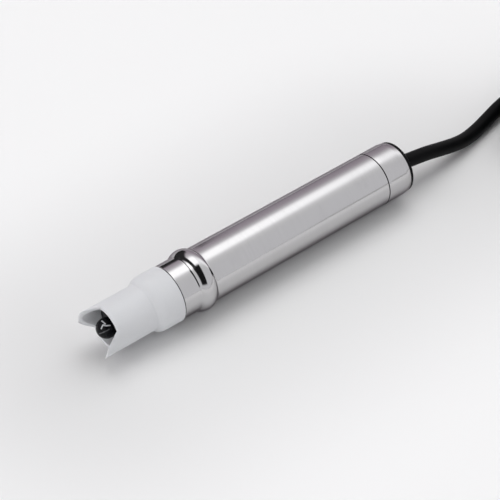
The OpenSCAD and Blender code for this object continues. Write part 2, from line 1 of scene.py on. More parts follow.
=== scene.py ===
import json
import math
import bmesh
import bpy
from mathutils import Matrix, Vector


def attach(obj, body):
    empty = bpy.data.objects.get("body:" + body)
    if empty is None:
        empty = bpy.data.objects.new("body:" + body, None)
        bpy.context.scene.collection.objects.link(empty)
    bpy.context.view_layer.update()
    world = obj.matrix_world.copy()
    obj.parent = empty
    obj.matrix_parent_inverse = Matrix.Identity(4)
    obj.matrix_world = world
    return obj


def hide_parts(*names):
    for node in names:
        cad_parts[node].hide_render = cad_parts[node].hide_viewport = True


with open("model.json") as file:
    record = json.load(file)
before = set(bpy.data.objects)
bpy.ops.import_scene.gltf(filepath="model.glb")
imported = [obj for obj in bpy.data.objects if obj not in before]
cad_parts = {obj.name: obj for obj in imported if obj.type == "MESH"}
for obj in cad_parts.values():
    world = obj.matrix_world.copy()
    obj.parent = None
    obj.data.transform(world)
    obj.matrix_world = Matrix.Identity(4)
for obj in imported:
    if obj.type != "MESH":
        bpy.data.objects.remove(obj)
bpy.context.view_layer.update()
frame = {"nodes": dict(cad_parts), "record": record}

# Lengths below are millimetres. Along the barrel they are measured from its front edge.
barrel = {"seamX": -50.8, "axisHeight": 15.7, "radius": 14.0, "wall": 1.5, "seam": 0.36, "length": 127.2,
          "rearAt": 142.0, "endAt": 144.0, "sides": 256}


def mm(value):
    return value * 0.001


def onAxis(along, radius, angle):  # angle in degrees, 0 at the top, 90 on the near side
    turn = math.radians(angle)
    return Vector((mm(barrel["seamX"] + along), -mm(radius) * math.sin(turn),
                   mm(barrel["axisHeight"] + radius * math.cos(turn))))


# ---- camera ----
view = {"place": (-0.36713, -0.43861, 0.53317), "tilt": 47.73, "swing": -39.8, "lens": 116.96}
eye = bpy.data.cameras.new("viewCamera")
eye.lens = view["lens"]
eye.sensor_width = 36.0
eye.clip_start, eye.clip_end = 0.01, 20.0
eyeObject = bpy.data.objects.new("viewCamera", eye)
eyeObject.location = view["place"]
eyeObject.rotation_euler = (math.radians(view["tilt"]), 0.0, math.radians(view["swing"]))
bpy.context.scene.collection.objects.link(eyeObject)
bpy.context.scene.camera = eyeObject
print("camera set")

# ---- the cable: free stretch, hank, and the end that carries the plug ----
cable = {"diameter": 7.5, "length": 3000.0, "innerTurn": 22.5, "hankX": 206.0, "hankY": -25.5,
         "straight": 50.0, "firstRow": 5.25, "arcSteps": 14, "straightSteps": 6, "leaveX": 238.0, "rows": 5}
freeRoute = [(93.2, 0, 15.7), (96, 0, 15.7), (99.5, 0, 15.4), (104, 0, 14.7), (109, 0, 13.9),
             (114, 0, 13), (119, 0, 11.9), (125, 0, 10.4), (131, 0.2, 8.8), (137, 0.6, 7.2),
             (143, 1.3, 5.8), (149, 2.4, 4.8), (155, 3.8, 4.2), (161, 5.3, 3.9), (167, 6.9, 4),
             (173, 8.4, 4.3), (179, 9.8, 4.7), (185, 10.8, 5), (191, 11.5, 5.2), (198, 11.9, 5.25)]
plugRoute = [(238, -51.8, 35.2), (233, -51.8, 35.2), (228, -51.8, 35.2), (223, -51.8, 35.2),
             (218, -51.8, 35.2), (212, -51.8, 35.2), (206, -51.8, 35.2), (199.8, -50.7, 35.4),
             (194.1, -48.3, 36), (189.1, -44.6, 36.8), (185, -40, 37.9), (181.9, -34.6, 39),
             (179.9, -28.7, 40.1), (179.3, -22.3, 41), (180.1, -15.7, 41.8), (182.5, -9.3, 42.4),
             (186.6, -3.6, 42.9), (192.1, 0.9, 43.4), (198.8, 3.7, 43.9), (206, 4.5, 44.4),
             (211, 4.5, 45), (215, 4.5, 45.6), (219, 4.5, 46.2), (223.5, 4.5, 46.6), (228, 4.5, 46.6)]


def easeStep(share):
    return share * share * (3 - 2 * share)


def windHank(c):  # far arc, return run, near arc and forward run of every turn, row by row
    points = []
    pitch = c["diameter"]
    half = pitch / 2
    farX = c["hankX"] + c["straight"]

    def run(x0, x1, y, z0, z1):
        for i in range(c["straightSteps"]):
            share = i / c["straightSteps"]
            points.append((x0 + (x1 - x0) * share, y, z0 + (z1 - z0) * easeStep(share)))

    def arc(x, startAngle, r0, r1, z):
        for i in range(c["arcSteps"]):
            share = i / c["arcSteps"]
            r = r0 + (r1 - r0) * easeStep(share)
            a = math.radians(startAngle - 180 * share)
            points.append((x + r * math.cos(a), c["hankY"] + r * math.sin(a), z))

    radius = c["innerTurn"] + 2 * pitch
    for row in range(c["rows"]):
        step = -half if row % 2 == 0 else half
        z = c["firstRow"] + row * pitch
        if row == 0:
            run(c["hankX"], farX, c["hankY"] + radius, z, z)
        else:
            run(c["hankX"], farX, c["hankY"] + radius, z - pitch, z)
        for turn in range(2):
            arc(farX, 90, radius, radius + step, z)
            radius += step
            if row == c["rows"] - 1 and turn == 1:
                run(farX, c["leaveX"], c["hankY"] - radius, z, z)
                return points
            run(farX, c["hankX"], c["hankY"] - radius, z, z)
            arc(c["hankX"], -90, radius, radius + step, z)
            radius += step
            if turn == 0:
                run(c["hankX"], farX, c["hankY"] + radius, z, z)
    return points


def smoothPath(points, steps):  # a curve through every point, with its handles from the neighbours
    fine = []
    for i in range(len(points) - 1):
        p0, p1 = points[max(i - 1, 0)], points[i]
        p2, p3 = points[i + 1], points[min(i + 2, len(points) - 1)]
        gap = (p2 - p1).length
        t1 = (p2 - p0) / max((p2 - p0).length, 1e-9) * gap
        t2 = (p3 - p1) / max((p3 - p1).length, 1e-9) * gap
        for k in range(steps):
            u = k / steps
            fine.append(p1 * (2 * u ** 3 - 3 * u ** 2 + 1) + t1 * (u ** 3 - 2 * u ** 2 + u)
                        + p2 * (-2 * u ** 3 + 3 * u ** 2) + t2 * (u ** 3 - u ** 2))
    fine.append(points[-1])
    return fine


cableWay = [Vector(p) * 0.001 for p in freeRoute + windHank(cable) + plugRoute]
cableWay = smoothPath(cableWay, 3)
cableCurve = bpy.data.curves.new("cableRun", "CURVE")
cableCurve.dimensions = "3D"
cableCurve.bevel_depth = mm(cable["diameter"] / 2)
cableCurve.bevel_resolution = 10
cableCurve.use_fill_caps = True
strand = cableCurve.splines.new("POLY")
strand.points.add(len(cableWay) - 1)
for corner, place in zip(strand.points, cableWay):
    corner.co = (place.x, place.y, place.z, 1.0)
strand.use_smooth = True
cableRun = bpy.data.objects.new("cableRun", cableCurve)
bpy.context.scene.collection.objects.link(cableRun)
print("cable laid:", round(sum((b - a).length for a, b in zip(cableWay, cableWay[1:])), 3), "m")

# ---- light ----
# nearTone and farTone are the floor colours of the painted shadow near the barrel and of the painted pool of
# light
studio = {"nearTone": 0.8, "farTone": 0.97, "underHalf": 0.09, "nearReach": 0.02, "farReach": 0.14,
          "dimFrom": 0.35, "dimTo": 0.8, "skyStrength": 1.8, "backdrop": (0.4, 0.4, 0.402), "floorSize": 6.0,
          "glows": {"topGlow": {"power": 0.6, "spread": 80.0, "tilt": 0.0},
                    "frontGlow": {"power": 0.4, "spread": 40.0, "tilt": -85.0}}}
# brightness round the barrel's axis, in degrees from straight up towards the near side, halved
skyTurns = [(-180, 0.27, 0.25, 0.27), (-92, 0.27, 0.245, 0.27), (-60, 0.28, 0.245, 0.275),
            (-46, 0.36, 0.345, 0.36), (-33, 0.62, 0.61, 0.62), (-22, 0.84, 0.84, 0.85),
            (-9, 0.84, 0.84, 0.85), (2, 0.64, 0.64, 0.65), (14, 0.48, 0.48, 0.48),
            (30, 0.455, 0.455, 0.465), (92, 0.45, 0.45, 0.46), (180, 0.45, 0.45, 0.46)]
# patches of the tent, as spans of that angle and of the share along the barrel, with soft edges: dark
# round the camera, dark low on the far side, the brighter front of the strip above, the dark join of the
# first two at the front, and a grey line at the horizon; skew and lean set their edges aslant
skyPatches = [{"turn": (0, 8, 72, 80), "along": (-0.60, -0.52, 0.34, 0.40), "tone": 0.008, "lean": 0.0033},
              {"turn": (-126, -113, -56, -42), "along": (-0.42, -0.32, 0.446, 0.455), "tone": 0.02,
               "skew": 40.0},
              {"turn": (-40, -24, -8, 8), "along": (-2.0, -1.9, 0.36, 0.62), "tone": 1.1},
              {"turn": (-80, -62, 2, 16), "along": (-0.52, -0.46, -0.18, -0.10), "tone": 0.02},
              {"turn": (84.5, 86.5, 110, 112), "along": (0.49, 0.53, 2.0, 2.1), "tone": 0.33}]


def addNode(tree, kind, settings=None, inputs=None):  # an input is a fixed value or another node's output
    made = tree.nodes.new(kind)
    for name, value in (settings or {}).items():
        setattr(made, name, value)
    for name, value in (inputs or {}).items():
        if isinstance(value, bpy.types.NodeSocket):
            tree.links.new(value, made.inputs[name])
        else:
            made.inputs[name].default_value = value
    return made


def mathNode(tree, operation, *values):
    return addNode(tree, "ShaderNodeMath", {"operation": operation}, dict(enumerate(values))).outputs[0]


def splitNode(tree, vector):
    return addNode(tree, "ShaderNodeSeparateXYZ", inputs={0: vector}).outputs


def softStep(tree, value, foot, top):  # 0 at foot, 1 at top, smooth between them
    return addNode(tree, "ShaderNodeMapRange", {"interpolation_type": "SMOOTHSTEP"},
                   {"Value": value, "From Min": foot, "From Max": top}).outputs["Result"]


mixSlots = {"mask": 0, "low": 6, "high": 7, "result": 2}  # the colour sockets of a mix node


def mixTone(tree, mask, low, high):  # each end is a colour or another node's output
    ends = [end if isinstance(end, bpy.types.NodeSocket) else (*end, 1.0) for end in (low, high)]
    return addNode(tree, "ShaderNodeMix", {"data_type": "RGBA"}, {
        mixSlots["mask"]: mask, mixSlots["low"]: ends[0],
        mixSlots["high"]: ends[1]}).outputs[mixSlots["result"]]


def startMaterial(name, settings):
    material = bpy.data.materials.new(name)
    material.use_nodes = True
    tree = material.node_tree
    shader = tree.nodes["Principled BSDF"]
    for label, value in settings.items():
        shader.inputs[label].default_value = value
    return material, tree, shader, addNode(tree, "ShaderNodeTexCoord").outputs["Object"]


def buildSky():
    world = bpy.data.worlds.new("studioSky")
    world.use_nodes = True
    tree = world.node_tree
    tree.nodes.clear()
    way = splitNode(tree, addNode(tree, "ShaderNodeTexCoord").outputs["Generated"])
    turn = mathNode(tree, "ARCTAN2", mathNode(tree, "MULTIPLY", way["Y"], -1.0), way["Z"])
    ramp = addNode(tree, "ShaderNodeValToRGB", inputs={
        "Fac": mathNode(tree, "MULTIPLY_ADD", turn, 1 / (2 * math.pi), 0.5)})
    ramp.color_ramp.interpolation = "B_SPLINE"
    stops = ramp.color_ramp.elements
    while len(stops) > 1:
        stops.remove(stops[-1])
    stops[0].position = 0.0
    for i, (angle, *tone) in enumerate(skyTurns):
        stop = stops[0] if i == 0 else stops.new((angle + 180) / 360)
        stop.color = (*tone, 1.0)
    degrees = mathNode(tree, "MULTIPLY", turn, 180 / math.pi)
    colour, along = ramp.outputs["Color"], way["X"]
    for patch in skyPatches:
        skewed = mathNode(tree, "ADD", degrees, mathNode(tree, "MULTIPLY", along, patch.get("skew", 0.0)))
        leaning = mathNode(tree, "ADD", along, mathNode(tree, "MULTIPLY", degrees, patch.get("lean", 0.0)))
        mask = 1.0
        for (open0, open1, shut0, shut1), opening, shutting in (
                (patch["turn"], skewed, skewed), (patch["along"], along, leaning)):
            mask = mathNode(tree, "MULTIPLY", mask, softStep(tree, opening, open0, open1))
            mask = mathNode(tree, "MULTIPLY", mask, softStep(tree, shutting, shut1, shut0))
        colour = mixTone(tree, mask, colour, [patch["tone"]] * 3)
    seen = addNode(tree, "ShaderNodeLightPath").outputs["Is Camera Ray"]
    glow = addNode(tree, "ShaderNodeBackground", inputs={
        "Strength": studio["skyStrength"], "Color": mixTone(tree, seen, colour, studio["backdrop"])})
    addNode(tree, "ShaderNodeOutputWorld", inputs={"Surface": glow.outputs[0]})
    bpy.context.scene.world = world


def buildFloor():  # a sheet with a painted pool of light: its colour is painted darker under the barrel as painted shadow, and darker far outside as painted fall-off of the light
    half = studio["floorSize"] / 2
    mesh = bpy.data.meshes.new("studioFloor")
    mesh.from_pydata([(-half, -half, 0), (half, -half, 0), (half, half, 0), (-half, half, 0)],
                     [], [(0, 1, 2, 3)])
    floor = bpy.data.objects.new("studioFloor", mesh)
    bpy.context.scene.collection.objects.link(floor)
    paper, tree, shader, position = startMaterial("floorPaper", {"Roughness": 0.9, "Specular IOR Level": 0.1})
    place = splitNode(tree, position)
    past = mathNode(tree, "MAXIMUM", mathNode(
        tree, "SUBTRACT", mathNode(tree, "ABSOLUTE", place["X"]), studio["underHalf"]), 0.0)
    reach = mathNode(tree, "SQRT", mathNode(tree, "ADD", mathNode(tree, "MULTIPLY", past, past),
                                            mathNode(tree, "MULTIPLY", place["Y"], place["Y"])))
    # painted light: the mask is 0 near the barrel (painted shadow) and far outside, 1 in the lit ring between
    share = mathNode(tree, "MULTIPLY", softStep(tree, reach, studio["nearReach"], studio["farReach"]),
                     softStep(tree, reach, studio["dimTo"], studio["dimFrom"]))
    tree.links.new(mixTone(tree, share, [studio["nearTone"]] * 3, [studio["farTone"]] * 3),
                   shader.inputs["Base Color"])
    mesh.materials.append(paper)


def buildGlow(name, g):  # broad even light that the steel doesn't mirror
    lamp = bpy.data.lights.new(name, "SUN")
    lamp.energy = g["power"]
    lamp.angle = math.radians(g["spread"])
    lampObject = bpy.data.objects.new(name, lamp)
    lampObject.rotation_euler = (0.0, math.radians(g["tilt"]), 0.0)
    lampObject.visible_glossy = False
    bpy.context.scene.collection.objects.link(lampObject)


buildSky()
buildFloor()
for glowName, glowSettings in studio["glows"].items():
    buildGlow(glowName, glowSettings)
bpy.context.scene.view_settings.view_transform = "Standard"
bpy.context.scene.view_settings.look = "None"
print("light and floor set")

# ---- shader groups, each built once ----


def newGroup(name, inputs, outputs):  # an input with no default value is a vector
    group = bpy.data.node_groups.new(name, "ShaderNodeTree")
    for label, value in inputs.items():
        kind = "NodeSocketVector" if value is None else "NodeSocketFloat"
        socket = group.interface.new_socket(label, in_out="INPUT", socket_type=kind)
        if value is not None:
            socket.default_value = value
    for label in outputs:
        group.interface.new_socket(label, in_out="OUTPUT", socket_type="NodeSocketFloat")
    return group, addNode(group, "NodeGroupInput").outputs


def noiseNode(tree, position, scale, detail, roughness, distortion=0.0):
    return addNode(tree, "ShaderNodeTexNoise", inputs={
        "Vector": position, "Scale": scale, "Detail": detail, "Roughness": roughness,
        "Distortion": distortion}).outputs["Fac"]


def buildTurnedMarks():  # fine rings left by the lathe, broken up round the bar
    group, given = newGroup("turnedMarks", {
        "Position": None, "Rings per Metre": 9000.0, "Breakup": 60.0}, ("Height", "Streak"))
    stretch = addNode(group, "ShaderNodeCombineXYZ", inputs={
        "X": given["Rings per Metre"], "Y": given["Breakup"], "Z": given["Breakup"]}).outputs[0]
    squashed = addNode(group, "ShaderNodeVectorMath", {"operation": "MULTIPLY"},
                       {0: given["Position"], 1: stretch}).outputs[0]
    fine = noiseNode(group, squashed, 1.0, 3.0, 0.6)
    wide = noiseNode(group, squashed, 0.12, 2.0, 0.5)
    addNode(group, "NodeGroupOutput", inputs={
        "Height": mathNode(group, "MULTIPLY_ADD", fine, 0.7, wide), "Streak": wide})
    return group


def buildHandling():  # faint smears and dust, large and uneven
    group, given = newGroup("handlingMarks", {
        "Position": None, "Patch Scale": 60.0, "Speck Scale": 900.0}, ("Smear", "Speck"))
    patch = noiseNode(group, given["Position"], given["Patch Scale"], 4.0, 0.6, 0.8)
    speck = noiseNode(group, given["Position"], given["Speck Scale"], 1.0, 0.4)
    addNode(group, "NodeGroupOutput", inputs={
        "Smear": softStep(group, patch, 0.42, 0.68), "Speck": softStep(group, speck, 0.62, 0.72)})
    return group


def buildMouldGrain():  # the fine skin of moulded plastic or rubber
    group, given = newGroup("mouldGrain", {
        "Position": None, "Grain Scale": 2500.0, "Flow Scale": 90.0}, ("Height", "Cloud"))
    addNode(group, "NodeGroupOutput", inputs={
        "Height": noiseNode(group, given["Position"], given["Grain Scale"], 2.0, 0.55),
        "Cloud": noiseNode(group, given["Position"], given["Flow Scale"], 3.0, 0.5)})
    return group


def buildSeamShade():  # painted shade: a dark colour painted into the narrow gap at one place along the barrel, where shade falls in the seam
    group, given = newGroup("paintedSeamShade", {"Position": None, "Place": 0.0, "Half Width": 0.0002}, ["Mask"])
    off = mathNode(group, "ABSOLUTE", mathNode(
        group, "SUBTRACT", splitNode(group, given["Position"])["X"], given["Place"]))
    share = mathNode(group, "DIVIDE", off, given["Half Width"])
    addNode(group, "NodeGroupOutput", inputs={"Mask": softStep(group, share, 1.1, 0.8)})
    return group


turnedMarks = buildTurnedMarks()
paintedSeamShade = buildSeamShade()
handlingMarks = buildHandling()
mouldGrain = buildMouldGrain()


def useGroup(tree, group, position, values):
    return addNode(tree, "ShaderNodeGroup", {"node_tree": group}, dict(values, Position=position)).outputs


def rangeNode(tree, value, fromLow, fromHigh, low, high):
    return addNode(tree, "ShaderNodeMapRange", inputs={
        "Value": value, "From Min": fromLow, "From Max": fromHigh, "To Min": low,
        "To Max": high}).outputs["Result"]


def feedShader(tree, shader, tone, rough, height, strength, distance):
    bump = addNode(tree, "ShaderNodeBump", inputs={
        "Height": height, "Strength": strength, "Distance": distance}).outputs[0]
    for label, value in (("Base Color", tone), ("Roughness", rough), ("Normal", bump)):
        tree.links.new(value, shader.inputs[label])


def steelMaterial(name, s):
    material, tree, shader, position = startMaterial(name, {
        "Metallic": 1.0, "Specular Tint": (*s["edgeTone"], 1.0)})
    marks = useGroup(tree, turnedMarks, position, {"Rings per Metre": s["rings"], "Breakup": s["breakup"]})
    touch = useGroup(tree, handlingMarks, position, {"Patch Scale": s["patch"], "Speck Scale": s["speck"]})
    shade = mathNode(tree, "MULTIPLY_ADD", touch["Smear"], s["smear"], marks["Streak"])
    feedShader(tree, shader, mixTone(tree, shade, s["light"], s["dark"]),
               rangeNode(tree, shade, 0.3, 1.1, s["smooth"], s["rough"]),
               marks["Height"], s["bump"], mm(0.02))
    return material


def plasticMaterial(name, p):
    material, tree, shader, position = startMaterial(name, p["fixed"])
    skin = useGroup(tree, mouldGrain, position, {"Grain Scale": p["grain"], "Flow Scale": p["flow"]})
    touch = useGroup(tree, handlingMarks, position, {"Patch Scale": p["patch"], "Speck Scale": p["speck"]})
    cloud = mathNode(tree, "MULTIPLY_ADD", touch["Smear"], p["smear"], skin["Cloud"])
    dusty = mixTone(tree, mathNode(tree, "MULTIPLY", touch["Speck"], p["dust"]),
                    mixTone(tree, cloud, p["light"], p["dark"]), p["dustTone"])
    feedShader(tree, shader, dusty, rangeNode(tree, cloud, 0.2, 1.2, p["smooth"], p["rough"]),
               skin["Height"], p["bump"], mm(0.04))
    return material


steelLook = {"rings": 9000.0, "breakup": 50.0, "patch": 55.0, "speck": 1400.0, "smear": 0.5,
             "light": (0.56, 0.556, 0.562), "dark": (0.53, 0.524, 0.53), "edgeTone": (0.35, 0.32, 0.345),
             "smooth": 0.07, "rough": 0.12, "bump": 0.03}
collarLook = dict(steelLook, light=(0.555, 0.55, 0.556), dark=(0.525, 0.518, 0.525), rings=7000.0)
guardLook = {"grain": 2600.0, "flow": 70.0, "patch": 90.0, "speck": 1300.0, "smear": 0.3,
             "light": (0.72, 0.727, 0.744), "dark": (0.695, 0.703, 0.722), "dust": 0.05,
             "dustTone": (0.55, 0.55, 0.55), "smooth": 0.45, "rough": 0.58, "bump": 0.12,
             "fixed": {"Subsurface Weight": 0.08, "Subsurface Scale": 0.0008,
                       "Subsurface Radius": (1.0, 0.9, 0.8), "Specular IOR Level": 0.3}}
blackLook = {"grain": 2200.0, "flow": 110.0, "patch": 120.0, "speck": 1500.0, "smear": 0.4,
             "light": (0.0035, 0.0035, 0.004), "dark": (0.006, 0.006, 0.007), "dust": 0.06,
             "dustTone": (0.05, 0.05, 0.05), "smooth": 0.34, "rough": 0.5, "bump": 0.15,
             "fixed": {"Specular IOR Level": 0.07}}
jacketLook = dict(blackLook, smooth=0.42, rough=0.56, bump=0.2, grain=1800.0, dust=0.03,
                  light=(0.0015, 0.0015, 0.0018), dark=(0.003, 0.003, 0.0035))
rubberLook = dict(blackLook, smooth=0.5, rough=0.65, bump=0.25, grain=3000.0)
glassLook = {"grain": 400.0, "flow": 100.0, "patch": 150.0, "speck": 900.0, "smear": 0.4,
             "light": (0.003, 0.003, 0.004), "dark": (0.006, 0.006, 0.008), "dust": 0.02,
             "dustTone": (0.05, 0.05, 0.05), "smooth": 0.04, "rough": 0.08, "bump": 0.01,
             "fixed": {"Specular IOR Level": 0.12, "Coat Weight": 0.03, "Coat Roughness": 0.02}}


def buildStroke():  # a soft line between two points, given as its start and its span
    group, given = newGroup("strokeMask", {
        "Position": None, "Start": None, "Span": None, "Half Width": 0.0002, "Strength": 1.0}, ["Mask"])

    def vectorNode(operation, inputs, output=0):
        return addNode(group, "ShaderNodeVectorMath", {"operation": operation}, inputs).outputs[output]

    span = given["Span"]
    away = vectorNode("SUBTRACT", {0: given["Position"], 1: given["Start"]})
    share = mathNode(group, "DIVIDE", vectorNode("DOT_PRODUCT", {0: away, 1: span}, "Value"),
                     vectorNode("DOT_PRODUCT", {0: span, 1: span}, "Value"))
    share.node.use_clamp = True
    foot = vectorNode("SCALE", {0: span, "Scale": share})
    off = vectorNode("LENGTH", {0: vectorNode("SUBTRACT", {0: away, 1: foot})}, "Value")
    near = softStep(group, mathNode(group, "DIVIDE", off, given["Half Width"]), 1.9, 0.3)
    addNode(group, "NodeGroupOutput", inputs={"Mask": mathNode(group, "MULTIPLY", near, given["Strength"])})
    return group


glass = {"bulb": 4.95, "bulbAt": -34.9, "stem": 4.0, "stemEnd": 19.1, "wall": 0.8, "bulbWall": 0.5,
         "blend": 1.2, "sides": 96}
# pale strokes seen in the bulb, from the bulb's centre
strokes = {"tone": (0.62, 0.63, 0.66), "half": 0.24, "lines": [
    ((-1.52, 1.19, 4.56), (-1.37, -1.40, 4.55), 1.0), ((-2.43, -1.09, 4.17), (-1.50, -2.30, 4.12), 0.8),
    ((-1.50, -2.30, 4.12), (0.02, -3.00, 3.94), 1.0), ((-2.41, -0.99, 4.21), (-3.66, -1.38, 3.03), 0.9),
    ((-2.38, -1.03, 4.21), (-1.37, -1.40, 4.55), 0.6), ((-4.77, -1.26, 0.42), (-3.42, -2.99, 1.96), 0.2),
    ((-3.42, -2.99, 1.96), (-1.23, -3.85, 2.86), 0.14)]}


def openMaterial(material):  # its tree, its shader, what feeds the colour, and its coordinates
    tree = material.node_tree
    shader = tree.nodes["Principled BSDF"]
    position = [n for n in tree.nodes if n.bl_idname == "ShaderNodeTexCoord"][0].outputs["Object"]
    return tree, shader, shader.inputs["Base Color"].links[0].from_socket, position


# painted shade: the seam between barrel and collar gets a painted dark colour and a higher roughness
def addPaintedSeamShade(material, g):
    tree, shader, ground, position = openMaterial(material)
    mask = useGroup(tree, paintedSeamShade, position, {
        "Place": mm(barrel["seamX"] + barrel["length"]), "Half Width": mm(g["half"])})["Mask"]
    plainRough = shader.inputs["Roughness"].links[0].from_socket
    rough = mathNode(tree, "MAXIMUM", plainRough, mathNode(tree, "MULTIPLY", mask, g["rough"]))
    tree.links.new(mixTone(tree, mask, ground, g["tone"]), shader.inputs["Base Color"])
    tree.links.new(rough, shader.inputs["Roughness"])


def addStrokes(material, centre):
    group = buildStroke()
    tree, shader, ground, position = openMaterial(material)
    total = 0.0
    for a, b, strength in strokes["lines"]:
        line = useGroup(tree, group, position, {
            "Half Width": mm(strokes["half"]), "Strength": strength,
            "Start": [centre[k] + mm(a[k]) for k in range(3)], "Span": [mm(b[k] - a[k]) for k in range(3)]})
        total = mathNode(tree, "MAXIMUM", total, line["Mask"])
    tree.links.new(mixTone(tree, total, ground, strokes["tone"]), shader.inputs["Base Color"])


finishes = {
    "guard_plastic": plasticMaterial("whiteGuard", guardLook),
    "stainless": steelMaterial("turnedSteel", steelLook),
    "collar_steel": steelMaterial("collarSteel", collarLook),
    "holder_plastic": plasticMaterial("blackHolder", dict(
        blackLook, light=(0.01, 0.01, 0.011), dark=(0.016, 0.016, 0.018), smooth=0.28, rough=0.4,
        fixed={"Specular IOR Level": 0.35})),
    "bulb_glass": plasticMaterial("darkGlass", glassLook),
    "rubber": plasticMaterial("sealRubber", rubberLook),
    "inner_plastic": plasticMaterial("innerPlastic", dict(
        blackLook, light=(0.1, 0.11, 0.12), dark=(0.13, 0.14, 0.15))),
    "silver": steelMaterial("silverWire", dict(
        steelLook, light=(0.8, 0.78, 0.74), dark=(0.5, 0.46, 0.42), smooth=0.2, rough=0.4,
        edgeTone=(0.9, 0.9, 0.9))),
    "ceramic": plasticMaterial("paleCeramic", dict(
        guardLook, light=(0.78, 0.75, 0.68), dark=(0.68, 0.64, 0.56), smooth=0.6, rough=0.8,
        grain=3500.0, bump=0.3, fixed={"IOR": 1.5})),
    "lead_insulation": plasticMaterial("redInsulation", dict(
        blackLook, light=(0.42, 0.03, 0.02), dark=(0.5, 0.05, 0.03))),
    "board_laminate": plasticMaterial("boardLaminate", dict(
        blackLook, light=(0.01, 0.11, 0.04), dark=(0.015, 0.16, 0.06), smooth=0.3, rough=0.45)),
    "chip_package": plasticMaterial("chipPackage", dict(blackLook, smooth=0.45, rough=0.6)),
    "capacitor_can": plasticMaterial("capacitorSleeve", dict(
        blackLook, light=(0.03, 0.04, 0.2), dark=(0.04, 0.05, 0.26))),
    "core_insulation": plasticMaterial("coreInsulation", dict(
        blackLook, light=(0.36, 0.36, 0.38), dark=(0.42, 0.42, 0.44))),
    "cap_plastic": plasticMaterial("capPlastic", dict(blackLook, smooth=0.3, rough=0.45)),
    "boot_rubber": plasticMaterial("bootRubber", rubberLook),
    "ferrule": steelMaterial("ferruleMetal", dict(
        steelLook, light=(0.72, 0.72, 0.73), dark=(0.62, 0.62, 0.63), smooth=0.25, rough=0.4,
        edgeTone=(0.9, 0.9, 0.9))),
    "cable_jacket": plasticMaterial("cableJacket", jacketLook),
    "tie_band": plasticMaterial("tieBand", dict(
        rubberLook, light=(0.01, 0.01, 0.011), dark=(0.016, 0.016, 0.018), bump=0.6, grain=1500.0)),
    "plug_plastic": plasticMaterial("plugBody", dict(blackLook, smooth=0.36, rough=0.5)),
    "plug_insert": plasticMaterial("plugInsert", dict(blackLook, light=(0.012, 0.012, 0.014))),
    "gold": steelMaterial("goldContact", dict(
        steelLook, light=(0.95, 0.68, 0.3), dark=(0.85, 0.58, 0.24), smooth=0.15, rough=0.28,
        edgeTone=(0.95, 0.85, 0.7))),
    "nickel": steelMaterial("nickelNut", dict(
        steelLook, light=(0.66, 0.63, 0.58), dark=(0.58, 0.55, 0.5), smooth=0.18, rough=0.3,
        edgeTone=(0.85, 0.84, 0.82))),
}
# painted shade for the seam: its half width in mm, its dark colour and its roughness
seamShadeLook = {"half": 0.32, "tone": (0.03, 0.027, 0.03), "rough": 0.5}
addPaintedSeamShade(finishes["stainless"], seamShadeLook)
addPaintedSeamShade(finishes["collar_steel"], seamShadeLook)
addStrokes(finishes["bulb_glass"], onAxis(glass["bulbAt"], 0.0, 0.0))
print("finishes made:", len(finishes))

slotOfNode = {piece["node"]: piece["material_slot"] for piece in frame["record"]["subparts"]}
for nodeName, nodeObject in frame["nodes"].items():
    nodeFinish = finishes[slotOfNode[nodeName]]
    if nodeObject.material_slots:
        for materialSlot in nodeObject.material_slots:
            materialSlot.material = nodeFinish
    else:
        nodeObject.data.materials.append(nodeFinish)
print("nodes finished:", len(frame["nodes"]))

cableCurve.materials.append(finishes["cable_jacket"])
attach(cableRun, "sensor")
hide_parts("cable", "cable_hank", "cable_end")

# ---- turned pieces: one tree sweeps an outline round an axis ----


